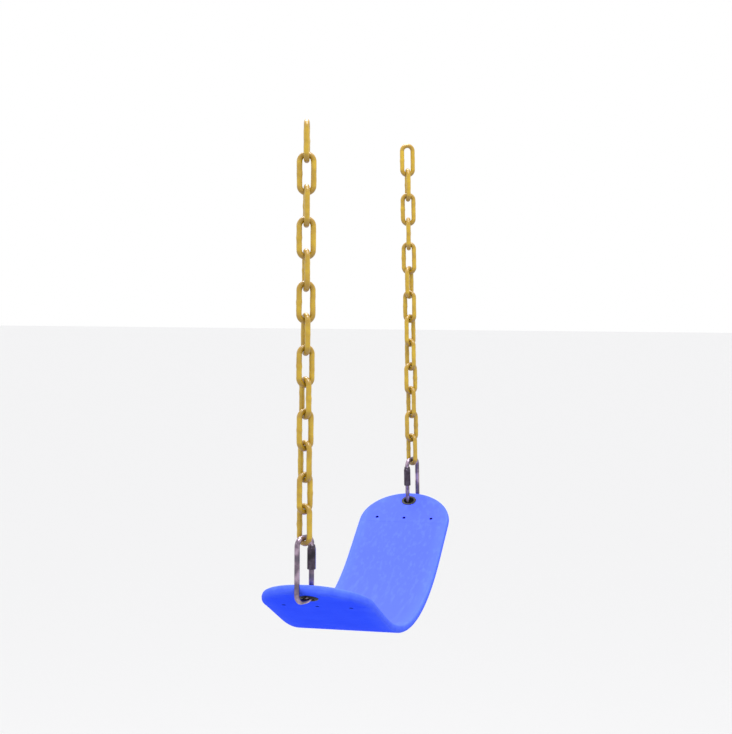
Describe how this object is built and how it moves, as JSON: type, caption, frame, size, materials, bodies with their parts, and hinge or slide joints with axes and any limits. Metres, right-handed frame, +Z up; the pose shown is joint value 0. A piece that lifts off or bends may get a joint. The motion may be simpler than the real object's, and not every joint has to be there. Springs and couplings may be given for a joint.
{
  "type": "belt swing seat with chains",
  "caption": "Flexible belt swing seat, U-shaped with round ends, hung by quick links through an eyelet at each end from two plastic-coated chains.",
  "frame": {"origin": "the middle of the suspension line, which joins the two points where the top links bear on their hangers", "axes": "+Z up, +X from the left chain to the right one along the seat, +Y to the front"},
  "size_m": [0.6218, 0.13, 0.6254],
  "materials": {
    "seat_blue": "satin moulded blue foam rubber",
    "coated_chain": "glossy yellow plastic coat over steel",
    "quick_link_steel": "bright zinc plated",
    "quick_link_nut": "zinc plated",
    "stiffener_steel": "mill finish, moulded in",
    "eyelet_black": "satin black"
  },
  "bodies": {
    "hanging_links": {"left_link_01": "coated_chain", "right_link_01": "coated_chain"},
    "left_link_02": {"left_link_02": "coated_chain"},
    "left_link_03": {"left_link_03": "coated_chain"},
    "left_link_04": {"left_link_04": "coated_chain"},
    "left_link_05": {"left_link_05": "coated_chain"},
    "left_link_06": {"left_link_06": "coated_chain"},
    "left_link_07": {"left_link_07": "coated_chain"},
    "left_link_08": {"left_link_08": "coated_chain"},
    "left_link_09": {"left_link_09": "coated_chain"},
    "left_link_10": {"left_link_10": "coated_chain"},
    "left_link_11": {"left_link_11": "coated_chain"},
    "left_link_12": {"left_link_12": "coated_chain"},
    "left_link_13": {"left_link_13": "coated_chain"},
    "left_quick_link": {"left_quick_link": "quick_link_steel"},
    "left_quick_link_nut": {"left_quick_link_nut": "quick_link_nut"},
    "right_link_02": {"right_link_02": "coated_chain"},
    "right_link_03": {"right_link_03": "coated_chain"},
    "right_link_04": {"right_link_04": "coated_chain"},
    "right_link_05": {"right_link_05": "coated_chain"},
    "right_link_06": {"right_link_06": "coated_chain"},
    "right_link_07": {"right_link_07": "coated_chain"},
    "right_link_08": {"right_link_08": "coated_chain"},
    "right_link_09": {"right_link_09": "coated_chain"},
    "right_link_10": {"right_link_10": "coated_chain"},
    "right_link_11": {"right_link_11": "coated_chain"},
    "right_link_12": {"right_link_12": "coated_chain"},
    "right_link_13": {"right_link_13": "coated_chain"},
    "right_quick_link": {"right_quick_link": "quick_link_steel"},
    "right_quick_link_nut": {"right_quick_link_nut": "quick_link_nut"},
    "seat": {"seat_belt": "seat_blue", "left_eyelet": "eyelet_black", "left_eyelet_washer": "eyelet_black", "left_stiffener": "stiffener_steel", "right_eyelet": "eyelet_black", "right_eyelet_washer": "eyelet_black", "right_stiffener": "stiffener_steel"}
  },
  "joints": [
    {"name": "left_link_02_swing", "type": "hinge", "parent": "hanging_links", "child": "left_link_02", "pos_m": [-0.27931, 0.00002, -0.03542], "axis": [1, 0, 0], "range_deg": [-12, 12]},
    {"name": "left_link_03_swing", "type": "hinge", "parent": "left_link_02", "child": "left_link_03", "pos_m": [-0.28034, -0.00002, -0.07019], "axis": [-1, 0, 0], "range_deg": [-9, 9]},
    {"name": "left_link_04_swing", "type": "hinge", "parent": "left_link_03", "child": "left_link_04", "pos_m": [-0.28174, 0.00002, -0.10487], "axis": [1, 0, 0], "range_deg": [-10, 10]},
    {"name": "left_link_05_swing", "type": "hinge", "parent": "left_link_04", "child": "left_link_05", "pos_m": [-0.28279, -0.00002, -0.14054], "axis": [-1, 0, 0], "range_deg": [-6, 6]},
    {"name": "left_link_06_swing", "type": "hinge", "parent": "left_link_05", "child": "left_link_06", "pos_m": [-0.28416, 0.00002, -0.17451], "axis": [1, 0, 0], "range_deg": [-9, 9]},
    {"name": "left_link_07_swing", "type": "hinge", "parent": "left_link_06", "child": "left_link_07", "pos_m": [-0.28526, -0.00001, -0.21057], "axis": [-1, 0, 0], "range_deg": [-8, 8]},
    {"name": "left_link_08_swing", "type": "hinge", "parent": "left_link_07", "child": "left_link_08", "pos_m": [-0.28657, 0.00001, -0.24452], "axis": [1, 0, 0], "range_deg": [-7, 7]},
    {"name": "left_link_09_swing", "type": "hinge", "parent": "left_link_08", "child": "left_link_09", "pos_m": [-0.28775, 0, -0.28046], "axis": [-1, 0, 0], "range_deg": [-7, 7]},
    {"name": "left_link_10_swing", "type": "hinge", "parent": "left_link_09", "child": "left_link_10", "pos_m": [-0.28897, 0, -0.31472], "axis": [1, 0, 0], "range_deg": [-6, 6]},
    {"name": "left_link_11_swing", "type": "hinge", "parent": "left_link_10", "child": "left_link_11", "pos_m": [-0.29023, 0, -0.35027], "axis": [-1, 0, 0], "range_deg": [-6, 6]},
    {"name": "left_link_12_swing", "type": "hinge", "parent": "left_link_11", "child": "left_link_12", "pos_m": [-0.29139, 0, -0.38456], "axis": [1, 0, 0], "range_deg": [-6, 6]},
    {"name": "left_link_13_swing", "type": "hinge", "parent": "left_link_12", "child": "left_link_13", "pos_m": [-0.29269, 0, -0.42077], "axis": [-1, 0, 0], "range_deg": [-6, 6]},
    {"name": "left_quick_link_swing", "type": "hinge", "parent": "left_link_13", "child": "left_quick_link", "pos_m": [-0.2938, 0, -0.45329], "axis": [1, 0, 0], "range_deg": [-6, 6]},
    {"name": "left_nut_travel", "type": "slide", "parent": "left_quick_link", "child": "left_quick_link_nut", "axis": [-0.0349, 0.0059, -0.9994], "range_m": [0, 0.018]},
    {"name": "right_link_02_swing", "type": "hinge", "parent": "hanging_links", "child": "right_link_02", "pos_m": [0.27912, 0.00002, -0.03542], "axis": [1, 0, 0], "range_deg": [-12, 12]},
    {"name": "right_link_03_swing", "type": "hinge", "parent": "right_link_02", "child": "right_link_03", "pos_m": [0.28053, -0.00002, -0.07019], "axis": [-1, 0, 0], "range_deg": [-9, 9]},
    {"name": "right_link_04_swing", "type": "hinge", "parent": "right_link_03", "child": "right_link_04", "pos_m": [0.28154, 0.00002, -0.10487], "axis": [1, 0, 0], "range_deg": [-10, 10]},
    {"name": "right_link_05_swing", "type": "hinge", "parent": "right_link_04", "child": "right_link_05", "pos_m": [0.28298, -0.00002, -0.14054], "axis": [-1, 0, 0], "range_deg": [-6, 6]},
    {"name": "right_link_06_swing", "type": "hinge", "parent": "right_link_05", "child": "right_link_06", "pos_m": [0.28398, 0.00002, -0.17451], "axis": [1, 0, 0], "range_deg": [-9, 9]},
    {"name": "right_link_07_swing", "type": "hinge", "parent": "right_link_06", "child": "right_link_07", "pos_m": [0.28541, -0.00001, -0.21057], "axis": [-1, 0, 0], "range_deg": [-8, 8]},
    {"name": "right_link_08_swing", "type": "hinge", "parent": "right_link_07", "child": "right_link_08", "pos_m": [0.28646, 0.00001, -0.24452], "axis": [1, 0, 0], "range_deg": [-7, 7]},
    {"name": "right_link_09_swing", "type": "hinge", "parent": "right_link_08", "child": "right_link_09", "pos_m": [0.2878, 0, -0.28046], "axis": [-1, 0, 0], "range_deg": [-7, 7]},
    {"name": "right_link_10_swing", "type": "hinge", "parent": "right_link_09", "child": "right_link_10", "pos_m": [0.28897, 0, -0.31472], "axis": [1, 0, 0], "range_deg": [-6, 6]},
    {"name": "right_link_11_swing", "type": "hinge", "parent": "right_link_10", "child": "right_link_11", "pos_m": [0.2902, 0, -0.35027], "axis": [-1, 0, 0], "range_deg": [-6, 6]},
    {"name": "right_link_12_swing", "type": "hinge", "parent": "right_link_11", "child": "right_link_12", "pos_m": [0.29143, 0, -0.38456], "axis": [1, 0, 0], "range_deg": [-6, 6]},
    {"name": "right_link_13_swing", "type": "hinge", "parent": "right_link_12", "child": "right_link_13", "pos_m": [0.29265, 0, -0.42077], "axis": [-1, 0, 0], "range_deg": [-6, 6]},
    {"name": "right_quick_link_swing", "type": "hinge", "parent": "right_link_13", "child": "right_quick_link", "pos_m": [0.29382, 0, -0.45329], "axis": [1, 0, 0], "range_deg": [-6, 6]},
    {"name": "right_nut_travel", "type": "slide", "parent": "right_quick_link", "child": "right_quick_link_nut", "axis": [0.0349, -0.0059, -0.9994], "range_m": [0, 0.018]},
    {"name": "seat_swing", "type": "hinge", "parent": "left_quick_link", "child": "seat", "pos_m": [-0.28493, 0, -0.51932], "axis": [1, 0, 0], "range_deg": [-7, 7]}
  ],
  "couplings": [
    {"joint": "right_link_02_swing", "follows": "left_link_02_swing", "ratio": 1},
    {"joint": "right_link_03_swing", "follows": "left_link_03_swing", "ratio": 1},
    {"joint": "right_link_04_swing", "follows": "left_link_04_swing", "ratio": 1},
    {"joint": "right_link_05_swing", "follows": "left_link_05_swing", "ratio": 1},
    {"joint": "right_link_06_swing", "follows": "left_link_06_swing", "ratio": 1},
    {"joint": "right_link_07_swing", "follows": "left_link_07_swing", "ratio": 1},
    {"joint": "right_link_08_swing", "follows": "left_link_08_swing", "ratio": 1},
    {"joint": "right_link_09_swing", "follows": "left_link_09_swing", "ratio": 1},
    {"joint": "right_link_10_swing", "follows": "left_link_10_swing", "ratio": 1},
    {"joint": "right_link_11_swing", "follows": "left_link_11_swing", "ratio": 1},
    {"joint": "right_link_12_swing", "follows": "left_link_12_swing", "ratio": 1},
    {"joint": "right_link_13_swing", "follows": "left_link_13_swing", "ratio": 1},
    {"joint": "right_quick_link_swing", "follows": "left_quick_link_swing", "ratio": 1}
  ]
}
